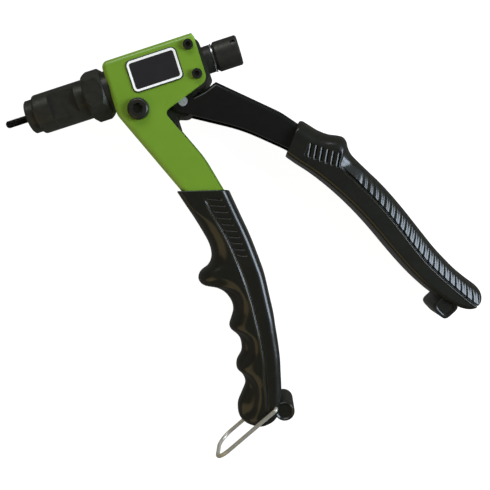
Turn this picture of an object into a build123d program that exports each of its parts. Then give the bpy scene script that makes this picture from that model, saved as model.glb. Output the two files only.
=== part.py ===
"""Hand rivet-nut setting tool, lying on its side.

The draw axis is X (the nose points to -X, the mandrel is pulled towards +X), the handles hang
towards -Y, and Z is the tool's thickness with the mid-plane at z = 0.  The origin is the centre
of the nose piece's front face.  All sizes are in millimetres.
"""

from build123d import *
import math
import os

# ---- pressed-steel frame -------------------------------------------------------------------
frame_half_width = 12.0     # outside of the U-channel, from the mid-plane
frame_wall = 2.0            # sheet thickness
frame_bend = 3.0            # outside radius of the folded edges
head_front = 46.6           # front face of the head
head_rear = 97.0            # rear edge of the head's sides
head_top = 13.6             # top face of the head
head_front_low = -14.8      # where the head's front turns into the handle's front
head_heel_radius = 8.0
head_brow_radius = 3.5
head_bevel_x = 0.8          # small bevel at the top rear corner
head_bevel_y = 2.0
head_rear_low = -12.0
head_rear_radius = 5.0

# ---- draw axis: nose -----------------------------------------------------------------------
mandrel_radius = 2.0
mandrel_reach = 13.8        # threaded end in front of the nose piece
mandrel_shank_radius = 1.75  # waisted shank behind the thread
nose_piece_radius = 8.9
nose_piece_length = 4.6
nose_piece_chamfer = 0.5
nose_stub_radius = 5.0
nose_stub_length = 7.0
sleeve_radius = 10.5
sleeve_rear = 33.0          # rear shoulder of the sleeve
sleeve_shoulder = 1.5       # rounding of the sleeve's front
sleeve_flats = 16.0         # across the spanner flats
flats_front = 13.8
flats_length = 14.6
sleeve_thread_radius = 8.0
sleeve_bore_radius = 6.0
sleeve_bore_front = 16.0    # front end of the wide bore
sleeve_insertion = 13.0     # thread length inside the head body
lock_nut_flats = 24.0
lock_nut_length = 10.8
lock_nut_chamfer = 2.2
body_boss_radius = 11.0     # round boss of the head body in front of the head
nut_gap = 0.2

# ---- draw axis: spindle, chuck and carriage ------------------------------------------------
spindle_radius = 3.0
spindle_collar_radius = 4.4
spindle_collar_length = 1.4
chuck_radius = 5.6
chuck_front_radius = 4.6
chuck_socket_depth = 4.5
chuck_floor = 2.0           # between the hexagon socket and the spindle's thread
cap_front = 24.5
cap_wall = 3.0
cap_length = 11.5
cap_chamfer = 0.8
mandrel_head_flats = 6.0
mandrel_chamfer = 0.4
mandrel_head_length = 4.0
mandrel_hole_radius = 2.2
carriage_radius = 6.25
carriage_ahead = 14.6       # carriage in front of the trunnions' axis
carriage_web = 0.8          # metal between the trunnions and the bearing's pocket
carriage_pocket_radius = 4.6
carriage_pocket_depth = 4.5
trunnion_radius = 2.5
trunnion_root = 3.5         # inner end of the trunnions, from the axis
thrust_washer_thickness = 0.8
thrust_ball_radius = 0.6
thrust_ball_count = 8
spring_wire_radius = 0.6
spring_radius = 4.9         # to the wire's centre
spring_turns = 5
bush_radius = 7.2
bush_pocket_radius = 5.6
bush_margin = 0.6           # from the carriage at full stroke to the bush
bush_wall = 1.5
neck_length = 3.9           # of the bush behind the head body
knob_washer_radius = 7.5
knob_washer_thickness = 0.7
knob_radius = 7.9
knob_length = 14.0
knob_chamfer = 1.4
knob_screw_radius = 1.35
knob_screw_from_end = 2.5
knob_screw_angle = 25.0     # about the axis, from +Z towards +Y
knob_screw_recess = 1.0

# ---- head body -----------------------------------------------------------------------------
body_rear = 99.0
body_corner = 5.0
body_draft = 0.5
body_brow_radius = 1.6
body_rear_low = -9.6
body_heel_radius = 3.0
body_front_radius = 7.0

# ---- lever ---------------------------------------------------------------------------------
pivot_x = 81.4
pivot_y = -18.1
pivot_radius = 2.75
pivot_chamfer = 0.4
closing_angle = 29.5        # lever's travel from open to closed
cheek_wall = 2.0            # sheet thickness of the lever
ear_wall = 3.0              # metal each side of the ear's slot
ear_over = 3.0              # ear beyond the trunnion's centre
pivot_lobe_radius = 6.0
lever_bend = 2.6
lever_throat_x = 93.6       # the corner behind the pivot's lobe
lever_throat_y = -16.0
lever_throat_radius = 4.0

# ---- fasteners and plate -------------------------------------------------------------------
bolt_x = 58.6
bolt_y = -15.4
bolt_radius = 3.0
bolt_head_radius = 5.65
bolt_head_height = 3.3
bolt_head_dome = 1.8
bolt_socket_flats = 5.0
bolt_socket_depth = 2.0
bolt_end = 0.4              # thread beyond the nut
frame_nut_flats = 10.0
frame_nut_height = 3.2
screw_inset = 6.0           # from the rear of the head body to the screws' axes
screw_y = 7.7
screw_radius = 1.5
screw_head_radius = 2.6
screw_head_height = 2.0
screw_depth = 5.5           # thread inside the head body
screw_socket_flats = 2.5
screw_socket_depth = 1.3
label_x = 72.6
label_y = 0.9
label_length = 27.4
label_height = 17.2
label_thickness = 0.6
label_corner = 3.0

# ---- grips and bail ------------------------------------------------------------------------
grip_side_wall = 1.5        # of a grip, outside the steel it holds
grip_half_width = frame_half_width + grip_side_wall
grip_tilt = 0.285           # fall of the fixed grip's sections, per mm from front to rear
grip_rear_round = 5.2       # how far the fixed grip's rear edge is rounded
lever_inner_round = 4.6
lever_outer_round = 9.5
lever_ridge_share = 0.55    # where the ridge runs, as a share of the lever grip's width
lever_side_fall = 0.14      # slope of the sunk half
edge_shares = [0.134, 0.5, 1.0]         # places along a rounded edge
flat_shares = [0.15, 0.5, 0.85]         # places along a flat side
lug_half_width = 12.0
fixed_lug_x = 83.4
fixed_lug_y = -190.4
fixed_lug_radius = 5.4
lever_lug_x = 180.6
lever_lug_y = -161.6
lever_lug_side = 10.6
lever_lug_corner = 3.0
lever_lug_angle = 26.0
bail_x = 79.4
bail_y = -187.4
bail_wire_radius = 1.1
bail_length = 42.0
bail_bend = 9.0
bail_end_bend = 1.2
bail_insertion = 5.0
bail_angle = 204.0          # direction from the pivot to the loop's end

# ---- clearances ----------------------------------------------------------------------------
running = 0.05              # radial, shaft in bore
thread_gap = 0.05           # radial, screw in its thread
sliding = 0.3               # side to side between moving plates
seat_gap = 0.1              # piece against its pocket
slot_gap = 0.1              # each side of a trunnion in the lever's slot
swing_gap = 0.5             # around the swept ears

# ---- cutters -------------------------------------------------------------------------------
through = 30.0              # a cutter's reach when it goes right through the tool
past = 1.0                  # how far a cutter or a joined shape runs past a face

# ---- places worked out from the sizes ------------------------------------------------------
inner_half = frame_half_width - frame_wall
cheek_outer = inner_half - sliding
cheek_inner = cheek_outer - cheek_wall
waist_half = cheek_inner - sliding
half_angle = math.radians(closing_angle / 2)
stroke = 2 * abs(pivot_y) * math.tan(half_angle)
trunnion_x = pivot_x - stroke / 2
screw_x = body_rear - screw_inset
trunnion_reach = abs(pivot_y) / math.cos(half_angle)
trunnion_end = cheek_outer - sliding / 3
lock_nut_front = sleeve_rear + nut_gap
boss_front = lock_nut_front + lock_nut_length
sleeve_end = head_front + sleeve_insertion
carriage_front = trunnion_x - carriage_ahead
pocket_bottom = trunnion_x + trunnion_radius + thread_gap + carriage_web
carriage_rear = pocket_bottom + carriage_pocket_depth
bush_front = carriage_rear + stroke + bush_margin
ball_x = pocket_bottom + thrust_washer_thickness + running + thrust_ball_radius
rear_washer_x = ball_x + thrust_ball_radius + running
collar_x = rear_washer_x + thrust_washer_thickness
chuck_rear = carriage_front - seat_gap
chuck_front = cap_front + cap_wall + seat_gap
chuck_thread_front = chuck_front + chuck_socket_depth + chuck_floor
neck_end = body_rear + neck_length
spring_rear = neck_end - bush_wall
knob_front = neck_end + seat_gap + knob_washer_thickness
knob_rear = knob_front + knob_length
bail_half_width = grip_half_width + sliding + bail_wire_radius + seat_gap

ear_half = trunnion_radius + running + ear_wall
ear_length = trunnion_reach + ear_over

# Outlines: corner x, corner y, corner radius.  Inside its grip the frame narrows to a tongue,
# which leaves the grip room for its finger hollows.
frame_front = [
    (74.2, -178.0, 0.0), (79.4, -150.0, 80.0), (82.0, -118.0, 100.0), (79.6, -77.0, 12.0),
    (68.0, -66.0, 4.0),
]
frame_rear = [
    (70.7, -20.8, 2.5), (82.3, -48.0, 60.0), (87.0, -68.0, 8.0), (88.4, -82.0, 60.0),
    (89.6, -118.0, 100.0), (86.6, -150.0, 80.0), (81.0, -178.0, 0.0),
]
body_under = [
    (93.6, -14.6, 2.0), (88.8, -16.0, 1.0), (88.8, -21.0, 4.0), (81.0, -26.5, 5.0),
    (75.2, -24.5, 0.5), (75.2, -32.0, 2.0), (58.2, -32.0, 2.0),
]
lever_web = [
    (100.8, -13.6, 0.0), (128.5, -38.8, 40.0), (149.0, -64.5, 60.0), (163.5, -92.0, 100.0),
    (190.0, -151.5, 0.0),
]
lever_rear = [
    (183.0, -154.8, 0.0), (164.0, -117.5, 100.0), (152.4, -92.0, 80.0), (128.2, -59.2, 60.0),
    (106.5, -40.0, 100.0), (78.2, -23.0, 0.0),
]
# Grip sections: front x and y, rear x, how far the front edge is rounded, and the swell.
fixed_grip_sections = [
    (64.0, -60.9, 88.6, 3.4, 0.93), (63.7, -62.6, 89.9, 3.4, 1.0), (65.3, -68.6, 90.6, 3.6, 1.0),
    (67.6, -76.6, 91.6, 7.0, 1.0), (70.3, -88.4, 93.1, 11.0, 1.0), (71.1, -94.6, 93.7, 12.0, 1.0),
    (70.5, -98.8, 94.0, 12.0, 1.0), (68.8, -102.2, 94.2, 12.0, 1.0),
    (64.6, -105.0, 94.3, 11.5, 1.0), (60.9, -107.2, 94.4, 11.0, 1.0),
    (59.8, -110.0, 94.4, 11.0, 1.0), (61.2, -113.2, 94.3, 11.5, 1.0),
    (65.8, -116.2, 94.1, 13.0, 1.0), (70.2, -119.6, 93.9, 15.0, 1.0),
    (72.6, -124.0, 93.6, 16.0, 1.0), (73.3, -128.4, 93.3, 16.0, 1.0),
    (71.7, -133.2, 92.9, 15.0, 1.0), (68.7, -137.4, 92.4, 13.0, 1.0),
    (68.3, -140.4, 92.0, 13.0, 1.0), (70.3, -144.3, 91.4, 15.0, 1.0),
    (71.5, -149.0, 90.8, 15.0, 1.0), (70.2, -154.0, 90.0, 14.0, 1.0),
    (66.6, -158.0, 89.1, 12.0, 1.0), (64.9, -162.0, 88.1, 11.0, 1.0),
    (66.5, -166.2, 87.0, 12.0, 1.0), (67.0, -170.4, 86.0, 13.0, 1.0),
    (64.6, -175.0, 84.7, 13.0, 1.0), (60.6, -180.0, 82.6, 12.0, 1.0),
    (58.3, -186.6, 79.2, 11.5, 0.99), (59.4, -191.4, 74.4, 9.0, 0.93),
    (63.0, -194.6, 69.6, 4.5, 0.60),
]
# Grip sections: inner x and y, outer x and y, the swell, and how far the outer half is sunk.
lever_grip_sections = [
    (126.1, -58.3, 136.8, -46.8, 0.93, 0.0), (126.2, -60.4, 138.6, -47.2, 1.0, 0.0),
    (129.6, -64.9, 142.2, -51.0, 1.0, 0.0), (133.2, -69.6, 147.0, -55.2, 1.0, 0.0),
    (135.8, -73.0, 151.6, -57.8, 1.0, 0.3), (138.2, -76.1, 156.0, -60.2, 1.0, 0.8),
    (140.3, -79.1, 157.5, -64.4, 1.0, 1.0), (142.0, -81.7, 157.0, -69.0, 1.0, 1.0),
    (144.4, -85.4, 159.0, -74.0, 1.0, 1.0), (147.1, -89.4, 161.7, -78.4, 1.0, 1.0),
    (149.9, -93.9, 164.6, -83.0, 1.0, 1.0), (153.1, -100.0, 168.1, -89.5, 1.0, 1.0),
    (156.2, -106.8, 171.4, -96.3, 1.0, 1.0), (159.4, -114.1, 174.8, -104.1, 1.0, 1.0),
    (162.6, -121.6, 178.0, -112.2, 1.0, 1.0), (165.9, -129.2, 181.2, -120.4, 1.0, 1.0),
    (169.3, -136.6, 184.4, -128.4, 1.0, 1.0), (172.8, -143.4, 187.5, -135.4, 1.0, 1.0),
    (176.5, -149.8, 190.7, -141.8, 1.0, 1.0), (179.9, -155.1, 193.7, -147.1, 1.0, 1.0),
    (183.4, -159.8, 196.7, -152.0, 1.0, 1.0), (189.9, -165.3, 200.6, -158.6, 0.97, 0.8),
    (194.8, -167.0, 202.0, -162.8, 0.80, 0.4), (198.6, -167.0, 201.6, -165.4, 0.50, 0.0),
]
frame_web = frame_front + [
    (head_front, head_front_low, head_heel_radius), (head_front, head_top, head_brow_radius),
    (head_rear - head_bevel_x, head_top, 0.0),
]
frame_outline = frame_web + [
    (head_rear, head_top - head_bevel_y, 0.0), (head_rear, head_rear_low, head_rear_radius),
] + frame_rear
body_front = head_front + frame_wall + seat_gap
body_top = head_top - frame_wall - seat_gap
body_outline = [
    (body_front, body_top, body_brow_radius), (body_rear - body_draft, body_top, body_corner),
    (body_rear, body_rear_low, body_heel_radius),
] + body_under + [(body_front, head_front_low, body_front_radius)]
lever_outline = lever_web + lever_rear + [
    (pivot_x, pivot_y, 0.0), (lever_throat_x, lever_throat_y, lever_throat_radius),
]

# How the hollow of each channel is moved towards its open edges.
frame_moves = [(0, 0), (6, 0), (12, 0), (18, 0)]
lever_moves = [(0, 0), (-3, -4), (-6, -8), (-9, -12), (-5, 4.4), (-10, 8.8), (-15, 13.2),
               (-4, 0), (-8, 0)]


# ---- building blocks -----------------------------------------------------------------------
def outline_face(corners):
    """Closed outline with rounded corners, as a face in the XY plane."""
    points = [(x, y) for x, y, _ in corners]
    radii = [radius for _, _, radius in corners]
    return make_face(FilletPolyline(*points, radius=radii, close=True))


def slab(face, low, high):
    """The face, made solid from z = low to z = high."""
    return Pos(0, 0, low) * extrude(face, high - low, dir=(0, 0, 1))


def rod_x(radius, start, end):
    """Cylinder on the draw axis."""
    return Pos((start + end) / 2, 0, 0) * Rot(0, 90, 0) * Cylinder(radius, end - start)


def rod_z(radius, low, high, x, y):
    """Cylinder along Z."""
    return Pos(x, y, (low + high) / 2) * Cylinder(radius, high - low)


def tube_x(outer, inner, start, end):
    """Plain tube on the draw axis."""
    return rod_x(outer, start, end) - rod_x(inner, start - past, end + past)


def hex_x(flats, start, end):
    """Hexagonal bar on the draw axis, with flats towards +Z and -Z."""
    bar = extrude(RegularPolygon(flats / 2, 6, major_radius=False), end - start)
    return Pos(start, 0, 0) * Rot(0, 90, 0) * Rot(0, 0, 30) * bar


def hex_z(flats, low, high, x, y):
    """Hexagonal bar along Z."""
    return Pos(x, y, low) * extrude(RegularPolygon(flats / 2, 6, major_radius=False), high - low)


def edges_at_z(shape, height):
    """The edges that lie wholly in the plane z = height."""
    flat = []
    for edge in shape.edges():
        box = edge.bounding_box()
        if abs(box.min.Z - height) < 1e-4 and abs(box.max.Z - height) < 1e-4:
            flat.append(edge)
    return flat


def edges_at_x(shape, place):
    """The edges that lie wholly in the plane x = place."""
    flat = []
    for edge in shape.edges():
        box = edge.bounding_box()
        if abs(box.min.X - place) < 1e-4 and abs(box.max.X - place) < 1e-4:
            flat.append(edge)
    return flat


def near_path(point, corners, reach=4.0):
    """Whether a point of the outline is within reach of the corner-to-corner path."""
    for (ax, ay, _), (bx, by, _) in zip(corners, corners[1:]):
        length = math.hypot(bx - ax, by - ay)
        along = ((point.X - ax) * (bx - ax) + (point.Y - ay) * (by - ay)) / length
        aside = abs((point.X - ax) * (by - ay) - (point.Y - ay) * (bx - ax)) / length
        if -reach < along < length + reach and aside < reach:
            return True
    return False


def channel(corners, web, half_width, wall, bend, moves):
    """U-channel of folded sheet: two side plates joined by a web along one edge.  The hollow
    is the outline less the wall, copied by the moves towards the channel's open edges."""
    face = outline_face(corners)
    shell = slab(face, -half_width, half_width)
    folded = []
    for height in (half_width, -half_width):
        folded += [edge for edge in edges_at_z(shell, height) if near_path(edge.center(), web)]
    shell = fillet(folded, bend)
    inner = offset(face, -wall, kind=Kind.INTERSECTION)
    for move_x, move_y in moves:
        shell -= slab(Pos(move_x, move_y, 0) * inner, wall - half_width, half_width - wall)
    return shell


def rounded(distance, reach):
    """Share of the full thickness at a distance from an edge rounded as an ellipse."""
    return math.sqrt(1 - max(0.0, 1 - distance / reach) ** 2)


def grip_section(start_x, start_y, end_x, end_y, side):
    """Section across a grip, square to the mid-plane, as one closed curve.  side lists
    (distance from the start, height) from edge to edge; the other half mirrors it."""
    width = math.hypot(end_x - start_x, end_y - start_y)
    points = [(0, 0)] + side + [(width, 0)] + [(u, -v) for u, v in reversed(side)]
    across = ((end_x - start_x) / width, (end_y - start_y) / width, 0)
    plane = Plane(origin=(start_x, start_y, 0), x_dir=across, z_dir=(across[1], -across[0], 0))
    return plane * make_face(Spline(*points, periodic=True))


def steel_pocket(corners, web, half_width, bend):
    """Room for a folded channel inside a grip."""
    pocket = slab(offset(outline_face(corners), seat_gap, kind=Kind.INTERSECTION),
                  -half_width - seat_gap, half_width + seat_gap)
    folded = []
    for height in (half_width + seat_gap, -half_width - seat_gap):
        folded += [edge for edge in edges_at_z(pocket, height) if near_path(edge.center(), web)]
    return fillet(folded, bend)


def ear_point(turn, side, radial, lateral):
    """Place beside an ear: turn from upright (radians, clockwise), side -1 front or +1 rear."""
    x = pivot_x + radial * math.sin(turn) + side * lateral * math.cos(turn)
    y = pivot_y + radial * math.cos(turn) - side * lateral * math.sin(turn)
    return x, y


# ---- frame ---------------------------------------------------------------------------------
def make_frame_channel():
    frame = channel(frame_outline, frame_web, frame_half_width, frame_wall, frame_bend,
                    frame_moves)
    frame -= rod_x(body_boss_radius + seat_gap, head_front - past, head_front + frame_wall + past)
    frame -= rod_z(bolt_radius + seat_gap, -through, through, bolt_x, bolt_y)
    for side in (-1, 1):
        frame -= rod_z(screw_radius + seat_gap, -through, through, screw_x, side * screw_y)
    return frame


def cheek_pocket():
    """Room for the lever's ears and cheeks on one side of the head body, as a face."""
    reach = ear_length + swing_gap
    beside = ear_half + swing_gap
    top = pivot_y + math.hypot(reach, beside)
    front = ear_point(-half_angle, -1, reach, beside)
    rear = ear_point(half_angle, 1, reach, beside)
    root = ear_point(half_angle, 1, beside - past, beside)
    below = pivot_y - through
    right = body_rear + past
    corners = [front, (front[0], top), (rear[0], top), rear, root, (right, root[1]),
               (right, below), (front[0], below)]
    return make_face(Polyline(*corners, close=True))


def make_head_body():
    half = inner_half - seat_gap
    body = slab(outline_face(body_outline), -half, half)
    pocket = cheek_pocket()
    body -= slab(pocket, waist_half, half + past)
    body -= slab(pocket, -half - past, -waist_half)
    body += rod_x(body_boss_radius, boss_front, head_front + frame_wall + past)
    body -= rod_x(sleeve_thread_radius + thread_gap, boss_front - past, sleeve_end + seat_gap)
    body -= rod_x(carriage_radius + running, sleeve_end, bush_front)
    body -= rod_x(bush_radius + thread_gap, bush_front - seat_gap, body_rear + past)
    slot_half = trunnion_radius + sliding
    slot = Box(stroke + 2 * slot_half, 2 * slot_half, 2 * (waist_half + past))
    body -= Pos(pivot_x, 0, 0) * slot
    body -= rod_z(bolt_radius + seat_gap, -through, through, bolt_x, bolt_y)
    body -= rod_z(pivot_radius + running, -through, through, pivot_x, pivot_y)
    for side in (-1, 1):
        for low, high in ((half - screw_depth, half + past), (-half - past, screw_depth - half)):
            body -= rod_z(screw_radius + thread_gap, low, high, screw_x, side * screw_y)
    return body


def make_rear_bush():
    bush = rod_x(bush_radius, bush_front, neck_end)
    bush -= rod_x(bush_pocket_radius, bush_front - past, spring_rear)
    return bush - rod_x(spindle_radius + running, bush_front, neck_end + past)


def make_return_spring():
    """Helix between the carriage's rim and the bottom of the bush's pocket."""
    length = spring_rear - carriage_rear - 2 * spring_wire_radius - 2 * seat_gap
    helix = Helix(length / spring_turns, length, spring_radius)
    wire = sweep(Plane(helix @ 0, z_dir=helix % 0) * Circle(spring_wire_radius), helix)
    start = carriage_rear + spring_wire_radius + seat_gap
    return Pos(start, 0, 0) * Rot(0, 90, 0) * wire


def make_label_plate():
    plate = RectangleRounded(label_length, label_height, label_corner)
    return slab(Pos(label_x, label_y, 0) * plate, frame_half_width,
                frame_half_width + label_thickness)


def make_frame_bolt():
    """Domed socket bolt, its head on the label's side."""
    top = frame_half_width + bolt_head_height
    head = rod_z(bolt_head_radius, frame_half_width, top, bolt_x, bolt_y)
    head = fillet(edges_at_z(head, top), bolt_head_dome)
    head -= hex_z(bolt_socket_flats, top - bolt_socket_depth, top + past, bolt_x, bolt_y)
    end = -frame_half_width - frame_nut_height - bolt_end
    return head + rod_z(bolt_radius, end, frame_half_width, bolt_x, bolt_y)


def make_frame_nut():
    low = -frame_half_width - frame_nut_height
    nut = hex_z(frame_nut_flats, low, -frame_half_width, bolt_x, bolt_y)
    return nut - rod_z(bolt_radius + thread_gap, low - past, 0, bolt_x, bolt_y)


def make_body_screws():
    """Four equal cap screws, two on each side of the head."""
    top = frame_half_width + screw_head_height
    screw = rod_z(screw_head_radius, frame_half_width, top, 0, 0)
    screw += rod_z(screw_radius, inner_half - screw_depth, frame_half_width, 0, 0)
    screw -= hex_z(screw_socket_flats, top - screw_socket_depth, top + past, 0, 0)
    far_screw = Rot(180, 0, 0) * screw
    places = [(screw_x, side * screw_y) for side in (-1, 1)]
    near = [Pos(x, y, 0) * screw for x, y in places]
    far = [Pos(x, y, 0) * far_screw for x, y in places]
    return Compound(children=near + far)


def make_pivot_pin():
    pin = rod_z(pivot_radius, -trunnion_end, trunnion_end, pivot_x, pivot_y)
    ends = edges_at_z(pin, trunnion_end) + edges_at_z(pin, -trunnion_end)
    return chamfer(ends, pivot_chamfer)


def make_fixed_grip():
    faces = []
    for x, y, rear_x, front_round, swell in fixed_grip_sections:
        rear_y = y - grip_tilt * (rear_x - x)
        width = math.hypot(rear_x - x, rear_y - y)
        front = min(front_round, 0.62 * width)
        rear = min(grip_rear_round, 0.3 * width)
        half = swell * grip_half_width
        side = [(share * front, half * rounded(share, 1)) for share in edge_shares]
        side += [(front + share * (width - rear - front), half) for share in flat_shares]
        side += [(width - share * rear, half * rounded(share, 1))
                 for share in reversed(edge_shares)]
        faces.append(grip_section(x, y, rear_x, rear_y, side))
    grip = loft(faces)
    grip += rod_z(fixed_lug_radius, -lug_half_width, lug_half_width, fixed_lug_x, fixed_lug_y)
    grip -= steel_pocket(frame_outline, frame_front, frame_half_width, frame_bend)
    for side in (-1, 1):
        inner = grip_half_width - bail_insertion - seat_gap
        low, high = sorted((side * inner, side * through))
        grip -= rod_z(bail_wire_radius + seat_gap, low, high, bail_x, bail_y)
    return grip


# ---- lever ---------------------------------------------------------------------------------
def make_lever_channel():
    lever = channel(lever_outline, lever_web, cheek_outer, cheek_wall, lever_bend, lever_moves)
    corners = [ear_point(-half_angle, side, radial, ear_half)
               for side, radial in ((-1, 0), (-1, ear_length), (1, ear_length), (1, 0))]
    ear = make_face(Polyline(*corners, close=True))
    slot_half = trunnion_radius + slot_gap
    slot_root = abs(pivot_y) - swing_gap
    corners = [ear_point(-half_angle, side, radial, slot_half)
               for side, radial in ((-1, slot_root), (-1, ear_length + past),
                                    (1, ear_length + past), (1, slot_root))]
    slot = make_face(Polyline(*corners, close=True))
    round_x, round_y = ear_point(-half_angle, 1, slot_root, 0)
    for low, high in ((cheek_inner, cheek_outer), (-cheek_outer, -cheek_inner)):
        plate = slab(ear, low, high)
        plate += rod_z(pivot_lobe_radius, low, high, pivot_x, pivot_y)
        plate -= slab(slot, low - past, high + past)
        plate -= rod_z(slot_half, low - past, high + past, round_x, round_y)
        lever += plate
    return lever - rod_z(pivot_radius + running, -through, through, pivot_x, pivot_y)


def make_lever_grip():
    """Rounded at both edges; the outer half steps down behind a ridge and falls away."""
    faces = []
    for inner_x, inner_y, outer_x, outer_y, swell, sunk in lever_grip_sections:
        width = math.hypot(outer_x - inner_x, outer_y - inner_y)
        inner = min(lever_inner_round, 0.35 * width)
        outer = min(lever_outer_round, 0.55 * width)
        half = swell * grip_half_width
        ridge = lever_ridge_share * width
        side = [(share * inner, half * rounded(share, 1)) for share in edge_shares]
        side += [(inner + share * (ridge - inner), half) for share in flat_shares]
        for share, part in ((0.75, 1.0), (0.45, 0.9), (0.134, 0.5)):
            drop = part * sunk * (1 + lever_side_fall * (width - share * outer - ridge))
            side.append((width - share * outer, half * rounded(share, 1) - drop))
        faces.append(grip_section(inner_x, inner_y, outer_x, outer_y, side))
    grip = loft(faces)
    lug = RectangleRounded(lever_lug_side, lever_lug_side, lever_lug_corner)
    lug = Pos(lever_lug_x, lever_lug_y, 0) * Rot(0, 0, lever_lug_angle) * lug
    grip += slab(lug, -lug_half_width, lug_half_width)
    return grip - steel_pocket(lever_outline, lever_web, cheek_outer, lever_bend)


# ---- carriage ------------------------------------------------------------------------------
def make_carriage():
    block = rod_x(carriage_radius, carriage_front, carriage_rear)
    block -= rod_x(spindle_radius + running, carriage_front - past, carriage_rear + past)
    block -= rod_x(carriage_pocket_radius, pocket_bottom, carriage_rear + past)
    for low, high in ((trunnion_root - seat_gap, through), (-through, seat_gap - trunnion_root)):
        block -= rod_z(trunnion_radius + thread_gap, low, high, trunnion_x, 0)
    return block


def make_trunnion_pins():
    near = rod_z(trunnion_radius, trunnion_root, trunnion_end, trunnion_x, 0)
    far = rod_z(trunnion_radius, -trunnion_end, -trunnion_root, trunnion_x, 0)
    return Compound(children=[near, far])


def thrust_washer(start):
    """Flat bearing washer that fits the spindle and the carriage's pocket."""
    return tube_x(carriage_pocket_radius - seat_gap, spindle_radius + running, start,
                  start + thrust_washer_thickness)


def make_thrust_balls():
    circle = (carriage_pocket_radius + spindle_radius) / 2
    balls = []
    for count in range(thrust_ball_count):
        turn = 2 * math.pi * count / thrust_ball_count
        place = Pos(ball_x, circle * math.cos(turn), circle * math.sin(turn))
        balls.append(place * Sphere(thrust_ball_radius))
    return Compound(children=balls)


# ---- spindle, chuck, mandrel and knob ------------------------------------------------------
def make_spindle():
    shaft = rod_x(spindle_radius, chuck_thread_front + past, knob_rear)
    return shaft + rod_x(spindle_collar_radius, collar_x, collar_x + spindle_collar_length)


def make_mandrel_chuck():
    """Hexagon socket in front, thread for the spindle behind."""
    chuck = rod_x(chuck_radius, cap_front + cap_length + seat_gap, chuck_rear)
    chuck += rod_x(chuck_front_radius, chuck_front, cap_front + cap_length + past)
    chuck -= hex_x(mandrel_head_flats + 2 * seat_gap, chuck_front - past,
                   chuck_front + chuck_socket_depth)
    return chuck - rod_x(spindle_radius + thread_gap, chuck_thread_front, chuck_rear + past)


def make_chuck_cap():
    cap = rod_x(chuck_radius, cap_front, cap_front + cap_length)
    cap = chamfer(edges_at_x(cap, cap_front), cap_chamfer)
    cap -= rod_x(chuck_front_radius + thread_gap, cap_front + cap_wall,
                 cap_front + cap_length + past)
    return cap - rod_x(mandrel_hole_radius, cap_front - past, cap_front + cap_wall + past)


def make_mandrel():
    thread = rod_x(mandrel_radius, -mandrel_reach, 0)
    thread = chamfer(edges_at_x(thread, -mandrel_reach), mandrel_chamfer)
    shank = rod_x(mandrel_shank_radius, 0, chuck_front + past)
    head = hex_x(mandrel_head_flats, chuck_front, chuck_front + mandrel_head_length)
    return thread + shank + head


def make_knob_washer():
    return tube_x(knob_washer_radius, spindle_radius + running, neck_end + seat_gap, knob_front)


def along_screw(radius, start, end):
    """Cylinder along the grub screw's own axis, start and end measured from the draw axis."""
    rod = Pos(0, 0, (start + end) / 2) * Cylinder(radius, end - start)
    return Pos(knob_rear - knob_screw_from_end, 0, 0) * Rot(-knob_screw_angle, 0, 0) * rod


def make_knob():
    knob = rod_x(knob_radius, knob_front, knob_rear)
    knob = chamfer(edges_at_x(knob, knob_front), knob_chamfer)
    knob = chamfer(edges_at_x(knob, knob_rear), knob_chamfer / 2)
    knob -= along_screw(knob_screw_radius + thread_gap, 0, knob_radius + past)
    return knob - rod_x(spindle_radius + thread_gap, knob_front - past, knob_rear + past)


def make_knob_screw():
    return along_screw(knob_screw_radius, spindle_radius, knob_radius - knob_screw_recess)


# ---- nose ----------------------------------------------------------------------------------
def make_nose_sleeve():
    sleeve = rod_x(sleeve_radius, nose_piece_length, sleeve_rear)
    sleeve = fillet(edges_at_x(sleeve, nose_piece_length), sleeve_shoulder)
    sleeve += rod_x(sleeve_thread_radius, sleeve_rear - past, sleeve_end)
    for side in (-1, 1):
        cutter = Box(flats_length, 3 * sleeve_radius, sleeve_radius)
        middle = side * (sleeve_flats + sleeve_radius) / 2
        sleeve -= Pos(flats_front + flats_length / 2, 0, middle) * cutter
    sleeve -= rod_x(nose_stub_radius + thread_gap, 0, sleeve_bore_front)
    return sleeve - rod_x(sleeve_bore_radius, sleeve_bore_front, sleeve_end + past)


def make_nose_piece():
    stub_end = nose_piece_length + nose_stub_length
    piece = rod_x(nose_piece_radius, 0, nose_piece_length)
    piece = chamfer(edges_at_x(piece, 0), nose_piece_chamfer)
    piece += rod_x(nose_stub_radius, nose_piece_length - past, stub_end)
    return piece - rod_x(mandrel_radius + running, -past, stub_end + past)


def make_lock_nut():
    nut = hex_x(lock_nut_flats, lock_nut_front, boss_front)
    corner = lock_nut_flats / math.sqrt(3)
    turned = rod_x(corner, lock_nut_front, boss_front)
    rims = edges_at_x(turned, lock_nut_front) + edges_at_x(turned, boss_front)
    turned = chamfer(rims, lock_nut_chamfer)
    return (nut & turned) - rod_x(sleeve_thread_radius + running, lock_nut_front - past,
                                  boss_front + past)


# ---- bail ----------------------------------------------------------------------------------
def make_bail_wire():
    """Round wire: in at one side of the grip, along, across and back."""
    turn = math.radians(bail_angle)
    end_x = bail_x + bail_length * math.cos(turn)
    end_y = bail_y + bail_length * math.sin(turn)
    inside = grip_half_width - bail_insertion
    points = [(bail_x, bail_y, inside), (bail_x, bail_y, bail_half_width),
              (end_x, end_y, bail_half_width), (end_x, end_y, -bail_half_width),
              (bail_x, bail_y, -bail_half_width), (bail_x, bail_y, -inside)]
    radii = [bail_end_bend, bail_bend, bail_bend, bail_end_bend]
    path = FilletPolyline(*points, radius=radii)
    return sweep(Plane(path @ 0, z_dir=path % 0) * Circle(bail_wire_radius), path)


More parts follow.
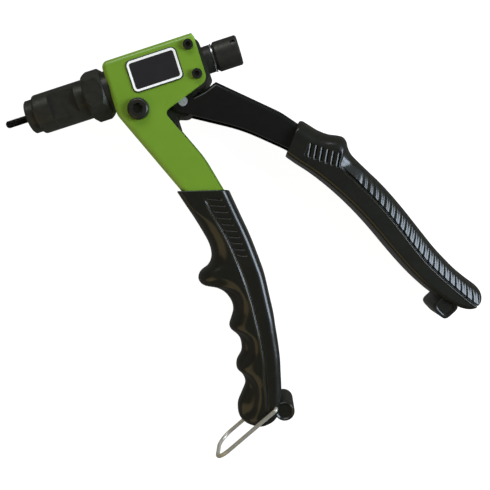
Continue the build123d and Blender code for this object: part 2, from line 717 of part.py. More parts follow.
pieces = {
    "frame_channel": make_frame_channel(),
    "head_body": make_head_body(),
    "rear_bush": make_rear_bush(),
    "return_spring": make_return_spring(),
    "label_plate": make_label_plate(),
    "frame_bolt": make_frame_bolt(),
    "frame_nut": make_frame_nut(),
    "body_screws": make_body_screws(),
    "pivot_pin": make_pivot_pin(),
    "fixed_grip": make_fixed_grip(),
    "lever_channel": make_lever_channel(),
    "lever_grip": make_lever_grip(),
    "carriage": make_carriage(),
    "trunnion_pins": make_trunnion_pins(),
    "thrust_washer_front": thrust_washer(pocket_bottom),
    "thrust_balls": make_thrust_balls(),
    "thrust_washer_rear": thrust_washer(rear_washer_x),
    "spindle": make_spindle(),
    "mandrel_chuck": make_mandrel_chuck(),
    "chuck_cap": make_chuck_cap(),
    "mandrel": make_mandrel(),
    "knob_washer": make_knob_washer(),
    "knob": make_knob(),
    "knob_screw": make_knob_screw(),
    "nose_sleeve": make_nose_sleeve(),
    "nose_piece": make_nose_piece(),
    "lock_nut": make_lock_nut(),
    "bail_wire": make_bail_wire(),
}

os.makedirs("parts", exist_ok=True)
for name, piece in pieces.items():
    export_step(piece, f"parts/{name}.step")
print(f"stroke {stroke:.3f} mm over {closing_angle} degrees")
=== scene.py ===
"""Looks of the hand rivet-nut tool: moulded grips, threaded mandrel, paints and plating, built
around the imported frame.  Lengths in the tables are millimetres in the part's own frame: the draw
axis is X with the nose at -X, the handles hang towards -Y, Z is the thickness."""

import bpy
import math
import numpy as np
from mathutils import Matrix, Vector


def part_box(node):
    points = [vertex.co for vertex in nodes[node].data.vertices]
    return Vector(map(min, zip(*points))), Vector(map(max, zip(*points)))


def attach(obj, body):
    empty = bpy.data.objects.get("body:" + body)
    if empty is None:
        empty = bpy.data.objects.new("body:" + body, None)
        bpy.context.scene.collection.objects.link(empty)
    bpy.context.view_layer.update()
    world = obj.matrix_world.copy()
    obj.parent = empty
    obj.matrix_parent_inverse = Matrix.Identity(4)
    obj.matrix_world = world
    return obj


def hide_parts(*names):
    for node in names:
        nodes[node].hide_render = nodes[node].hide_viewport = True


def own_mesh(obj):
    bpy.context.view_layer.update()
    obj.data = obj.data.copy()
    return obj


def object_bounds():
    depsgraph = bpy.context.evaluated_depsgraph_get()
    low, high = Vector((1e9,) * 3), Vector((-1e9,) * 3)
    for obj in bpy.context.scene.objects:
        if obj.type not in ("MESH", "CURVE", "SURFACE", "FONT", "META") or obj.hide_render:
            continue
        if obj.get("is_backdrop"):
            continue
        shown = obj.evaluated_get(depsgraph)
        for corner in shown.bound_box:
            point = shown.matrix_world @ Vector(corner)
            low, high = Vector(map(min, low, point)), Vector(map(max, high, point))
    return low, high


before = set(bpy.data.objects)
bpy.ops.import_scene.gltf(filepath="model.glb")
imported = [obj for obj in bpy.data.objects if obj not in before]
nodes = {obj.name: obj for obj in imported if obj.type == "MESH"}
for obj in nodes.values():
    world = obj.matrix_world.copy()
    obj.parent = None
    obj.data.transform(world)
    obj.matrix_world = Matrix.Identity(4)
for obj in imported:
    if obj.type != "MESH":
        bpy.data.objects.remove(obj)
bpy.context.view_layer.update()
MM = 0.001

# ---- sizes that the pieces share -----------------------------------------------------------
GRIP_HALF = 13.5            # half thickness of both grips
LUG_HALF = 12.0             # half length of the lugs at the handles' ends
LUG_END_DIP = 0.9           # how far the lugs' end faces are sunk
MANDREL_RADIUS = 2.0
MANDREL_TIP = -13.8
MANDREL_SHANK_RADIUS = 1.75  # waisted shank behind the thread
MANDREL_HEAD = 27.6         # front of the hexagon head
MANDREL_HEAD_FLATS = 6.0
MANDREL_END = 31.6
THREAD_PITCH = 0.7          # coarse M4
THREAD_DEPTH = 0.36
SPRING_RADIUS = 4.9         # to the wire's centre
SPRING_WIRE = 0.6           # radius of the wire
SPRING_TURNS = 5
LABEL_CENTRE = (72.6, 0.9)
LABEL_SIZE = (27.4, 17.2)
LABEL_CORNER = 3.0
LABEL_LOW = 12.0
LABEL_TOP = 12.6
LINE_INSET = 1.15           # of the printed line's middle, from the plate's edge
LINE_PAINTED_GLOW = 0.34            # painted glow of the printed line: it gives off light of its own, so that it reads as white ink


# ---- curves --------------------------------------------------------------------------------
def smooth_curve(points, count, tension=0.5):
    """Catmull-Rom curve through the points, sampled at equal arc lengths: on each run the place
    is a cubic whose end slopes are half the chord between the two neighbouring points."""
    p = np.asarray(points, float)
    padded = np.vstack([2 * p[0] - p[1], p, 2 * p[-1] - p[-2]])
    t = np.linspace(0, len(p) - 1, 40 * len(p))
    run = np.minimum(t.astype(int), len(p) - 2)
    f = (t - run)[:, None]
    a, b, c, d = (padded[run + k] for k in range(4))
    m0, m1 = tension * (c - a), tension * (d - b)
    dense = ((2 * f**3 - 3 * f**2 + 1) * b + (f**3 - 2 * f**2 + f) * m0
             + (3 * f**2 - 2 * f**3) * c + (f**3 - f**2) * m1)
    return resample(dense, count)


def resample(line, count, half_way=0.5):
    """The polyline's points at equal arc lengths, or with half of them spent on the given
    share of the length at its start."""
    along = arc_length(line)
    where = np.interp(np.linspace(0, 1, count), [0, 0.5, 1], [0, half_way, 1]) * along[-1]
    return np.stack([np.interp(where, along, line[:, k]) for k in range(line.shape[1])], axis=1)


def arc_length(line):
    """Length along the polyline at each of its points."""
    steps = np.linalg.norm(np.diff(line, axis=0), axis=1)
    return np.concatenate([[0], np.cumsum(steps)])


def across(front, rear, angles):
    """For each front point, the point of the rear line that lies on the ray from it at the given
    angle: where the cross product of the ray and the rear line's points changes sign."""
    ray = np.stack([np.cos(angles), np.sin(angles)], axis=1)
    offset = rear[None, :, :] - front[:, None, :]
    cross = ray[:, None, 0] * offset[:, :, 1] - ray[:, None, 1] * offset[:, :, 0]
    best = np.argmin(np.abs(cross), axis=1)
    return rear[best]


def even_out(line, passes):
    """Running mean of each point with its two neighbours, the ends held."""
    for _ in range(passes):
        line = np.vstack([line[:1], (line[:-2] + 2 * line[1:-1] + line[2:]) / 4, line[-1:]])
    return line


# ---- height patterns, all in millimetres ---------------------------------------------------
def quarter(a, radius):
    """Rounded edge: a quarter ellipse that reaches 1 at the given distance from the edge."""
    q = np.clip(a / radius, 0, 1)
    return np.sqrt(1 - (1 - q) ** 2)


def filleted(b, radius):
    """Round of one radius on top of an upright wall: how far the side lies below its full
    height at a distance from the edge, with the whole half thickness at the edge itself."""
    return np.where(b > 0, radius * (1 - quarter(b, radius)), GRIP_HALF)


def step(a, low, high):
    """Smooth 0 to 1 between two distances."""
    q = np.clip((a - low) / (high - low), 0, 1)
    return q * q * (3 - 2 * q)


def bump(a, half_width):
    """Smooth hump of height 1 that ends at half_width either side."""
    return np.clip(1 - (a / half_width) ** 2, 0, 1) ** 2


def dish(x, y, centre, radii, tilt, edge):
    """Finger hollow: 1 inside a tilted ellipse, falling to 0 over the last part of its radius."""
    u, v = x - centre[0], y - centre[1]
    c, s = math.cos(tilt), math.sin(tilt)
    ring = np.sqrt(((u * c + v * s) / radii[0]) ** 2 + ((v * c - u * s) / radii[1]) ** 2)
    return step(1 - ring, 0, edge)


def line_distance(x, y, line):
    """Signed distance from a polyline (positive on its left) and the length along it, for
    every grid point: the nearest of the line's closely spaced points decides both."""
    tangent = np.gradient(line, axis=0)
    tangent /= np.linalg.norm(tangent, axis=1)[:, None]
    along = arc_length(line)
    flat = np.stack([x.ravel(), y.ravel()], axis=1)
    gap = ((flat[:, None, :] - line[None, :, :]) ** 2).sum(axis=2)
    near = gap.argmin(axis=1)
    d = flat - line[near]
    side = tangent[near, 0] * d[:, 1] - tangent[near, 1] * d[:, 0]
    length = along[near] + (tangent[near] * d).sum(axis=1)
    return side.reshape(x.shape), length.reshape(x.shape)


# ---- meshes --------------------------------------------------------------------------------
def make_piece(name, vertices, faces, smooth_angle=None):
    """Object from points in millimetres, shaded smooth except over edges sharper than the
    angle."""
    mesh = bpy.data.meshes.new(name)
    mesh.from_pydata(np.asarray(vertices) * MM, [], [tuple(f) for f in faces])
    mesh.validate()
    mesh.polygons.foreach_set("use_smooth", np.ones(len(mesh.polygons), bool))
    if smooth_angle is not None:
        mesh.set_sharp_from_angle(angle=math.radians(smooth_angle))
    piece = bpy.data.objects.new(name, mesh)
    bpy.context.scene.collection.objects.link(piece)
    return piece


def ring_faces(rows, columns):
    """Quads of a grid of rows whose columns close on themselves, rows x columns vertices."""
    r, c = np.meshgrid(np.arange(rows - 1), np.arange(columns), indexing="ij")
    r, c = r.ravel(), c.ravel()
    d = (c + 1) % columns
    return np.stack([r * columns + c, r * columns + d, (r + 1) * columns + d,
                     (r + 1) * columns + c], axis=1)


def closed_grid(name, grid, smooth_angle=None):
    """Closed skin over a grid whose columns close on themselves: each end is shut with a fan
    to the middle of its row.  The faces are turned outwards if the enclosed volume is
    negative."""
    rows, columns = grid.shape[:2]
    points = grid.reshape(-1, 3)
    middle = np.stack([grid[0].mean(axis=0), grid[-1].mean(axis=0)])
    quads = ring_faces(rows, columns)
    k = np.arange(columns)
    n = (k + 1) % columns
    first = np.full(columns, rows * columns)
    last = first + 1
    head = np.stack([first, n, k], axis=1)
    base = (rows - 1) * columns
    tail = np.stack([last, base + k, base + n], axis=1)
    everything = np.vstack([points, middle])
    a, b, c, d = (everything[quads[:, i]] for i in range(4))
    volume = (np.cross(b - a, c - a) * a).sum() + (np.cross(c - a, d - a) * a).sum()
    for fan in (head, tail):
        p, q, r = (everything[fan[:, i]] for i in range(3))
        volume += (np.cross(q - p, r - p) * p).sum()
    if volume < 0:
        quads, head, tail = quads[:, ::-1], head[:, ::-1], tail[:, ::-1]
    faces = quads.tolist() + head.tolist() + tail.tolist()
    return make_piece(name, everything, faces, smooth_angle)


def two_sided(near_x, near_y, near_z):
    """Loop of columns: across the near side from front to rear edge, back across the far side
    with z reversed."""
    near = np.stack([near_x, near_y, near_z], axis=2)
    far = near[:, -2:0:-1].copy()
    far[:, :, 2] *= -1
    return np.concatenate([near, far], axis=1)


def spaced_across(width, start_reach, end_reach, columns):
    """Places across each row, as shares of its width: near both edges they follow even steps
    in angle round the rounded edge, and evenly spaced places fill the middle."""
    rise = 1 - np.cos(np.radians(np.linspace(0, 80, 18)))
    width = width.reshape(-1, 1)
    start = rise * np.minimum(start_reach, 0.45 * width)
    end = rise * np.minimum(end_reach, 0.45 * width)
    fill = np.linspace(0, 1, columns)[None, 1:-1]
    first, last = start[:, -1:], width - end[:, -1:]
    return np.hstack([start, first + (last - first) * fill, width - end[:, ::-1]]) / width


def round_mouth(grid, lip):
    """Draws the first four rows in towards their middles, the very first to the share given by
    lip, which rounds the mouth that the steel enters."""
    share = np.array([lip, 0.982, 0.993, 0.998])[:, None, None]
    middle = grid[:4].mean(axis=1, keepdims=True)
    grid[:4] = middle + (grid[:4] - middle) * share
    return grid


# ---- fixed grip ----------------------------------------------------------------------------
FIXED_FRONT = [
    (63.2, -61.3), (66.8, -74.0), (69.4, -84.4), (71.0, -92.2), (70.9, -97.4), (69.7, -101.0),
    (67.0, -103.9), (62.3, -105.8), (60.0, -108.6), (59.9, -111.2), (61.6, -113.8),
    (67.3, -116.9), (70.9, -120.4), (72.7, -124.3), (73.3, -128.0), (72.6, -131.6),
    (70.6, -134.8), (68.2, -138.4), (68.3, -141.0), (70.0, -143.6), (71.4, -146.8),
    (71.3, -150.5), (70.0, -154.5), (66.1, -158.6), (64.9, -162.7), (66.4, -165.6),
    (67.2, -168.9), (66.6, -172.4), (62.8, -177.2), (59.6, -181.4), (58.2, -187.4),
    (60.0, -192.0), (64.4, -195.0), (69.0, -195.9),
]
FIXED_REAR = [
    (89.7, -68.8), (91.6, -83.1), (93.3, -96.1), (94.3, -110.7), (94.5, -119.3), (93.6, -131.1),
    (92.8, -141.2), (91.7, -148.4), (89.9, -160.6), (87.6, -170.0), (84.4, -181.6),
    (80.4, -190.4), (76.0, -194.6), (69.0, -195.9),
]
FIXED_RIDGE = [
    (76.0, -67.0), (78.2, -78.0), (80.1, -85.8), (82.1, -97.0), (83.2, -111.3), (83.8, -127.2),
    (83.0, -139.4), (82.3, -150.5), (80.6, -161.4), (79.0, -168.0), (75.6, -182.7),
    (73.0, -190.0),
]
FIXED_SLOPE = math.radians(-15.9)   # direction of a row, from the front edge to the rear
FIXED_ROWS = 480
FIXED_COLUMNS = 62
FIXED_LIP = 0.960           # share of the full section that the mouth's rim has
FIXED_MOUTH_ROUND = 3.4     # rounding of the front edge at the mouth, where the steel enters
FIXED_FRONT_ROUND = 11.5    # and below it
FIXED_REAR_ROUND = 3.9
HOLLOWS = [                 # centre, radii along and across, tilt, share of the radius that slopes
    ((66.5, -124.6), (15.5, 14.2), 0.18, 0.42),
    ((66.0, -151.4), (14.6, 11.8), 0.16, 0.45),
    ((63.0, -177.0), (11.6, 15.0), -0.30, 0.42),
]
HOLLOW_DEPTH = 2.6
BACK_STEP = 0.30            # how far the side behind the ridge lies below the front
RIDGE_HEIGHT = 0.20
RIDGE_GROOVE = 0.50
RIDGE_END = 118             # length along the ridge where it starts to fade out
THUMB_RIB_DIRECTION = (0.363, 0.932)
THUMB_RIB_PITCH = 3.15
THUMB_RIB_START = 36.9      # of the first groove, along the direction
THUMB_RIB_COUNT = 10
THUMB_GROOVE = 0.45


def fixed_grip():
    """Moulded handle skin.  Rows run from the front edge to the rear edge.  The height over a
    row is the half thickness times a rounded front edge, less the fillet of the rear edge, all
    of it falling to nothing towards the narrow tail.  Off that come the three finger hollows, a
    small step behind the ridge line and the thumb grooves; a thin ridge with a groove behind it
    is laid along the line.  Each thumb groove is a hump cut at every whole pitch along the ribs'
    direction, and the land after it slopes a little, so that it catches light."""
    front = even_out(resample(smooth_curve(FIXED_FRONT, 3000), FIXED_ROWS, 0.27), 3)
    rear_line = smooth_curve(FIXED_REAR, 3000)
    rear = even_out(across(front, rear_line, np.full(FIXED_ROWS, FIXED_SLOPE)), 6)
    rear[-1] = front[-1]
    width = np.maximum(np.linalg.norm(rear - front, axis=1), 0.01)[:, None]
    k = spaced_across(width, 8.0, FIXED_REAR_ROUND, FIXED_COLUMNS)
    xy = front[:, None, :] + (rear - front)[:, None, :] * k[:, :, None]
    x, y = xy[..., 0], xy[..., 1]
    a, b = k * width, (1 - k) * width
    down = arc_length(front)[:, None]
    front_round = FIXED_MOUTH_ROUND + (FIXED_FRONT_ROUND - FIXED_MOUTH_ROUND) * step(down, 9, 24)
    z = GRIP_HALF * quarter(a, front_round) - filleted(b, FIXED_REAR_ROUND)
    z *= (0.25 + 0.75 * quarter(width, 24.0)) * np.sqrt(np.clip(width / 6.0, 0, 1))
    finger = sum(dish(x, y, *hollow) for hollow in HOLLOWS)
    z -= HOLLOW_DEPTH * np.clip(finger, 0, 1) * step(a, -1.0, 5.0)
    ridge, along = line_distance(x, y, smooth_curve(FIXED_RIDGE, 260))
    started = step(along, 1, 9)
    z -= BACK_STEP * step(ridge, 0.1, 0.5) * started
    seam = RIDGE_HEIGHT * bump(ridge + 0.30, 0.50) - RIDGE_GROOVE * bump(ridge - 0.80, 0.60)
    z += seam * step(a, 2, 6) * step(b, 1.5, 4) * started * (
        1 - step(along, RIDGE_END, RIDGE_END + 6))
    rib_x, rib_y = THUMB_RIB_DIRECTION
    rank = -(rib_x * x + rib_y * y + THUMB_RIB_START) / THUMB_RIB_PITCH
    off = (rank - np.round(rank)) * THUMB_RIB_PITCH
    window = step(ridge, 1.2, 2.6) * step(b, 4.6, 5.2) * step(rank, -0.6, -0.5) * (
        1 - step(rank, THUMB_RIB_COUNT - 0.5, THUMB_RIB_COUNT - 0.4))
    z -= window * (THUMB_GROOVE * bump(off, 0.5) + 0.06 * (rank - np.floor(rank)))
    grid = round_mouth(two_sided(x, y, np.maximum(z, 0)), FIXED_LIP)
    return closed_grid("fixed_grip_moulding", grid)


DRUM_CENTRE = (83.4, -190.4)
DRUM_RADIUS = 5.4
DRUM_RING_PITCH = 3.1
DRUM_RING_DEPTH = 0.22


def lug_drum():
    """Boss at the tail of the fixed grip: a radius over the length, turned round a line along Z,
    with shallow rings and a sunk face at both ends.  Between the rounded ends the radius dips
    by the squared share of a raised cosine of the length."""
    end_r = np.array([0.05, 3.6, 4.2, 4.7, 5.15, DRUM_RADIUS, DRUM_RADIUS])
    end_z = LUG_HALF - np.array([LUG_END_DIP, LUG_END_DIP, 0.2, 0.0, 0.35, 1.0, 2.2])
    middle_z = np.linspace(9.2, -9.2, 60)
    raised = 0.5 + 0.5 * np.cos(middle_z * 2 * np.pi / DRUM_RING_PITCH)
    z = np.concatenate([end_z, middle_z, -end_z[::-1]])[:, None]
    r = np.concatenate([end_r, DRUM_RADIUS - DRUM_RING_DEPTH * raised**2, end_r[::-1]])[:, None]
    turn = np.linspace(0, 2 * np.pi, 64, endpoint=False)
    grid = np.stack([DRUM_CENTRE[0] + r * np.cos(turn), DRUM_CENTRE[1] + r * np.sin(turn),
                     np.broadcast_to(z, (len(z), len(turn)))], axis=2)
    return closed_grid("fixed_grip_lug", grid, 40)


# ---- lever grip ----------------------------------------------------------------------------
LEVER_OUTER = [
    (137.0, -44.8), (138.6, -46.2), (141.2, -49.2), (144.8, -53.2), (149.2, -56.6), (153.4, -58.6),
    (156.2, -60.4), (157.3, -63.2), (157.2, -66.8), (158.0, -70.8), (160.8, -76.2),
    (164.0, -82.0), (167.7, -88.6), (171.4, -96.1), (175.0, -104.3), (178.0, -111.8),
    (181.6, -121.0), (185.6, -131.0), (189.7, -139.4), (192.8, -145.2), (197.2, -151.8),
    (200.9, -156.9), (202.2, -160.6), (201.4, -163.8), (198.6, -166.3),
]
LEVER_INNER = [
    (124.8, -60.6), (128.8, -65.8), (134.4, -72.5), (139.0, -78.8), (143.2, -85.2),
    (147.4, -92.2), (151.4, -99.6), (155.0, -107.0), (158.2, -114.2), (161.4, -121.9),
    (164.9, -130.0), (168.6, -138.0), (172.6, -145.6), (176.8, -152.2), (183.0, -160.0),
    (189.2, -165.2), (194.0, -167.0), (198.6, -166.3),
]
LEVER_RIDGE = [
    (155.3, -62.9), (153.2, -66.9), (151.1, -70.6), (149.2, -73.4), (148.9, -75.8),
    (150.4, -78.6), (153.3, -83.5), (156.4, -89.2), (159.4, -94.6), (163.8, -103.6),
    (168.5, -114.8), (172.3, -124.9), (177.4, -136.9), (183.3, -147.6), (189.6, -157.7),
    (193.7, -163.7),
]
LEVER_ROW_ANGLES = {        # share of the outer edge's length: direction to the inner edge
    0: -132, 0.1: -134, 0.3: -141, 0.5: -149, 0.8: -150, 0.93: -141, 1: -130,
}
LEVER_ROWS = 480
LEVER_COLUMNS = 60
LEVER_LIP = 0.962           # share of the full section that the collar's rim has
LEVER_INNER_ROUND = 2.2
LEVER_COLLAR_ROUND = 8.5    # rounding of the outer edge at the collar
LEVER_OUTER_ROUND = 3.6     # and behind the thumb stop
SUNK_DEPTH = 0.9            # drop of the outer half at the ridge
SUNK_SLOPE = 0.40           # its further fall for each millimetre from the ridge
SUNK_CURVE = 0.05           # and for each squared millimetre beyond the first four
SEAM_HEIGHT = 0.25          # raised line along the ridge
SEAM_GROOVE = 1.0           # and the groove behind it
CRESCENT_PITCH = 3.97
CRESCENT_START = 0.15       # share of a pitch
CRESCENT_DEPTH = 0.42
CRESCENT_LEAN = 0.40        # how far a crescent runs on along the ridge as it leaves it
CRESCENT_BEND = 0.05
SHORT_RIB_LINE = ((137.8, -58.7), (150.2, -67.8))
SHORT_RIB_SLANT = 0.152
SHORT_RIB_PITCH = 3.08
SHORT_RIB_LAST = 5.35       # rank where the ribs end
SHORT_RIB_RISE = 0.36
SHORT_RIB_GROOVE = 1.0
BEAD = 0.7                  # width of the raised line along the mould's parting


def lever_grip():
    """Moulded lever handle: rows from the inner edge to the outer edge, swinging round as the
    handle bends.  Behind a ridge that starts at the thumb stop the outer half is sunk and falls
    away faster and faster.  It carries crescents: the phase is the length along the ridge plus
    a share of the distance from it and of that distance squared, and within a phase the height
    falls along half a cosine and climbs back along the shorter rest.  Six raised ribs with
    tilted faces, each with a groove behind it, stand ahead of the ridge.  Near the parting
    plane the inner edge swells into a thin bead."""
    outer = even_out(resample(smooth_curve(LEVER_OUTER, 3000), LEVER_ROWS, 0.36), 3)
    inner_line = smooth_curve(LEVER_INNER, 3000)
    share = arc_length(outer) / arc_length(outer)[-1]
    angles = np.radians(np.interp(share, list(LEVER_ROW_ANGLES), list(LEVER_ROW_ANGLES.values())))
    inner = even_out(across(outer, inner_line, angles), 8)
    inner[-1] = outer[-1]
    pull = (1 - quarter(arc_length(outer), 2.6))[:, None] * (outer - inner) * 0.075
    outer, inner = outer - pull, inner + pull
    width = np.maximum(np.linalg.norm(outer - inner, axis=1), 0.01)[:, None]
    k = spaced_across(width, 2.6, 4.2, LEVER_COLUMNS)   # a little past each edge's rounding
    xy = inner[:, None, :] + (outer - inner)[:, None, :] * k[:, :, None]
    x, y = xy[..., 0], xy[..., 1]
    a, b = k * width, (1 - k) * width
    share = share[:, None]
    ridge, along = line_distance(x, y, smooth_curve(LEVER_RIDGE, 360))
    r = np.clip(even_out(ridge, 40) - 0.5, 0, 10)
    fall = SUNK_DEPTH + SUNK_SLOPE * r + SUNK_CURVE * np.clip(r - 4, 0, None) ** 2
    z = GRIP_HALF - filleted(a, LEVER_INNER_ROUND)
    z -= fall * step(ridge, -0.1, 0.9) * step(along, 0.0, 4.0)
    past_stop = step(share, 0.20, 0.30)
    z *= quarter(b, LEVER_COLLAR_ROUND - (LEVER_COLLAR_ROUND - LEVER_OUTER_ROUND) * past_stop)
    z *= quarter(width, 12.0)
    seam = SEAM_HEIGHT * bump(ridge + 0.35, 0.45) - SEAM_GROOVE * bump(ridge - 0.85, 0.75)
    z += seam * step(along, 13.0, 19.0)
    z -= crescents(ridge, along) * step(b, 0.4, 3.0)
    z += short_ribs(x, y) * (1 - step(ridge, -0.6, 0.0))
    z = np.maximum(z, 0)
    across_row = (outer - inner)[:, None, :] / width[:, :, None]
    bead = BEAD * (1 - step(z, 1.25, 1.6)) * (a < 3) * (1 - step(share, 0.86, 0.92))
    x = x - bead * across_row[..., 0]
    y = y - bead * across_row[..., 1]
    grid = round_mouth(two_sided(x, y, z), LEVER_LIP)
    return closed_grid("lever_grip_moulding", grid)


def crescents(ridge, along):
    """Depth of the scallops behind the ridge."""
    run = along + CRESCENT_LEAN * ridge + CRESCENT_BEND * ridge**2
    phase = (run / CRESCENT_PITCH + CRESCENT_START) % 1
    leaf = 0.50 + 0.28 * step(along, 30.0, 90.0)
    turn = np.where(phase < leaf, phase / leaf, 1 + (phase - leaf) / (1 - leaf))
    depth = CRESCENT_DEPTH * (1 - np.cos(np.pi * turn)) / 2
    return depth * step(ridge, 1.1, 1.7) * step(along, 23, 31)


def short_ribs(x, y):
    """Height of the ribs on the thumb stop, less the grooves between them."""
    u, v = beside_line(x, y, *SHORT_RIB_LINE)
    rank = (u + SHORT_RIB_SLANT * v) / SHORT_RIB_PITCH
    off = (rank - np.round(rank)) * SHORT_RIB_PITCH
    patch = step(v, -7.6, -6.6) * (1 - step(v, -0.6, 0.4)) * step(u, -0.9, -0.5) * (
        1 - step(rank, SHORT_RIB_LAST, SHORT_RIB_LAST + 0.15))
    rib = np.clip(0.45 - off, 0, 0.9) * (off > -0.45)
    return patch * (SHORT_RIB_RISE * rib - SHORT_RIB_GROOVE * bump(off - 1.0, 0.6) - 0.12)


def beside_line(x, y, start, end):
    """Places along and beside a line: u along it from start, v to its left."""
    dx, dy = end[0] - start[0], end[1] - start[1]
    length = math.hypot(dx, dy)
    u = ((x - start[0]) * dx + (y - start[1]) * dy) / length
    v = ((y - start[1]) * dx - (x - start[0]) * dy) / length
    return u, v


BLOCK_CENTRE = (180.6, -161.6)
BLOCK_SIDE = 10.6
BLOCK_TURN = math.radians(26.0)
BLOCK_SQUARENESS = 4.2      # 2 is a circle, and more draws the corners out


def lug_block():
    """Square boss with round corners at the end of the lever grip: a superellipse, whose cosine
    and sine are raised to the power of two over the squareness, drawn in towards its middle at
    both ends, with a sunk face."""
    t = np.linspace(0, 2 * np.pi, 96, endpoint=False)
    round_turn = np.stack([np.cos(t), np.sin(t)], axis=1)
    square = np.sign(round_turn) * np.abs(round_turn) ** (2 / BLOCK_SQUARENESS) * BLOCK_SIDE / 2
    c, s = math.cos(BLOCK_TURN), math.sin(BLOCK_TURN)
    square = square @ np.array([[c, s], [-s, c]])
    scale = np.array([0.02, 0.66, 0.70, 0.78, 0.90, 0.97, 1.0])
    drop = np.array([LUG_END_DIP, LUG_END_DIP, 0.2, 0.0, 0.0, 0.4, 1.3])
    z = np.concatenate([LUG_HALF - drop, -(LUG_HALF - drop)[::-1]])[:, None, None]
    scale = np.concatenate([scale, scale[::-1]])[:, None, None]
    grid = np.concatenate([np.array(BLOCK_CENTRE) + square[None] * scale,
                           np.broadcast_to(z, (len(z), len(t), 1))], axis=2)
    return closed_grid("lever_grip_lug", grid, 40)


# ---- mandrel -------------------------------------------------------------------------------
def threaded_mandrel():
    """Threaded pull rod.  Its radius falls and rises as a triangle wave, clipped flat at the
    crest and the root, of the length less the turned share of one pitch, which draws one thread.
    The thread is drawn in at the tip and fades out at the shank, which ends in a hexagon head:
    half the width across flats over the cosine of the angle from the nearest flat's middle."""
    x = np.linspace(MANDREL_TIP, 1.0, 420)
    turn = np.linspace(0, 2 * np.pi, 40, endpoint=False)
    wave = np.abs(((x[:, None] - THREAD_PITCH * turn[None, :] / (2 * np.pi)) / THREAD_PITCH) % 1
                  - 0.5) * 2
    body = MANDREL_RADIUS - THREAD_DEPTH * np.clip(1.3 * wave - 0.15, 0, 1)
    tip = 0.62 + 0.38 * step(x, MANDREL_TIP, MANDREL_TIP + 0.9)[:, None]
    shank = step(x, -0.6, 0.4)[:, None]
    r = np.minimum(body * tip, MANDREL_RADIUS) * (1 - shank) + MANDREL_SHANK_RADIUS * shank
    grid = np.stack([np.broadcast_to(x[:, None], r.shape), r * np.cos(turn), r * np.sin(turn)],
                    axis=2)
    hexagon = MANDREL_HEAD_FLATS / 2 / np.cos(turn % (np.pi / 3) - np.pi / 6)
    rest_x = np.array([2.0, 26.0, MANDREL_HEAD, MANDREL_HEAD, MANDREL_END - 0.2, MANDREL_END])
    rest_r = np.stack([np.full(len(turn), MANDREL_SHANK_RADIUS)] * 3
                      + [hexagon, hexagon, hexagon - 0.3])
    more = np.stack([np.broadcast_to(rest_x[:, None], rest_r.shape), rest_r * np.cos(turn),
                     rest_r * np.sin(turn)], axis=2)
    return closed_grid("mandrel_thread", np.concatenate([grid, more]), 60)


# ---- return spring -------------------------------------------------------------------------
def return_spring_coil():
    """Round wire on a helix between its two seats: the wire's centre goes round the draw axis
    as it moves along it, with a ring set square to the wire's run at every step."""
    low, high = (np.array(corner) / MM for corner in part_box("return_spring"))
    t = np.linspace(0, 1, 60 * SPRING_TURNS + 1)[:, None]
    turn = 2 * np.pi * SPRING_TURNS * t
    out = np.hstack([np.zeros_like(t), np.cos(turn), np.sin(turn)])
    centre = SPRING_RADIUS * out
    centre[:, :1] = low[0] + SPRING_WIRE + (high[0] - low[0] - 2 * SPRING_WIRE) * t
    run = np.gradient(centre, axis=0)
    run /= np.linalg.norm(run, axis=1)[:, None]
    ring = np.linspace(0, 2 * np.pi, 14, endpoint=False)[None, :, None]
    grid = centre[:, None] + SPRING_WIRE * (
        np.cos(ring) * out[:, None] + np.sin(ring) * np.cross(run, out)[:, None])
    return closed_grid("return_spring_coil", grid)


# ---- label ---------------------------------------------------------------------------------
def label_plate():
    """Label plate: rounded-rectangle rings, each drawn in from the last, rising over a rolled
    rim and sinking a little to the printed field."""
    inset = np.array([0.0, 0.0, 0.12, 0.35, 0.8, 1.1, 1.25, 1.5, 3.0, 6.0, 8.4])
    z = np.array([LABEL_LOW, 12.34, 12.52, LABEL_TOP, LABEL_TOP, LABEL_TOP - 0.03,
                  LABEL_TOP - 0.12, LABEL_TOP - 0.14, LABEL_TOP - 0.13, LABEL_TOP - 0.11,
                  LABEL_TOP - 0.10])
    rings = np.stack([rounded_rectangle(LABEL_SIZE[0] / 2 - i, LABEL_SIZE[1] / 2 - i,
                                        max(LABEL_CORNER - 0.6 * i, 0.15)) for i in inset])
    grid = np.concatenate([np.array(LABEL_CENTRE) + rings,
                           np.broadcast_to(z[:, None, None], rings.shape[:2] + (1,))], axis=2)
    return closed_grid("label_plate_printed", grid, 30)


def rounded_rectangle(half_x, half_y, corner, per_corner=10):
    """Outline of a rectangle with round corners, the same number of points on each."""
    t = np.linspace(0, np.pi / 2, per_corner)
    quarter_turn = np.stack([np.cos(t), np.sin(t)], axis=1) * corner
    corners = []
    for q, (sx, sy) in enumerate([(1, 1), (-1, 1), (-1, -1), (1, -1)]):
        c, s = math.cos(q * math.pi / 2), math.sin(q * math.pi / 2)
        centre = np.array([sx * (half_x - corner), sy * (half_y - corner)])
        corners.append(centre + quarter_turn @ np.array([[c, s], [-s, c]]))
    return np.concatenate(corners)


# ---- materials -----------------------------------------------------------------------------
def linear(code):
    """sRGB hex code to linear colour with alpha 1."""
    c = np.array([int(code[k:k + 2], 16) for k in (1, 3, 5)]) / 255
    c = np.where(c <= 0.04045, c / 12.92, ((c + 0.055) / 1.055) ** 2.4)
    return (*c.tolist(), 1.0)


def add(tree, kind, settings=None, **inputs):
    """Adds a node: settings are its properties, inputs are numbers, colours or other sockets."""
    node = tree.nodes.new(kind)
    for key, value in (settings or {}).items():
        setattr(node, key, value)
    for key, value in inputs.items():
        name = key.replace("_", " ")
        socket = node.inputs[int(key[1:])] if key[0] == "i" and key[1:].isdigit() else (
            node.inputs[name])
        if isinstance(value, bpy.types.NodeSocket):
            tree.links.new(value, socket)
        else:
            socket.default_value = value
    return node


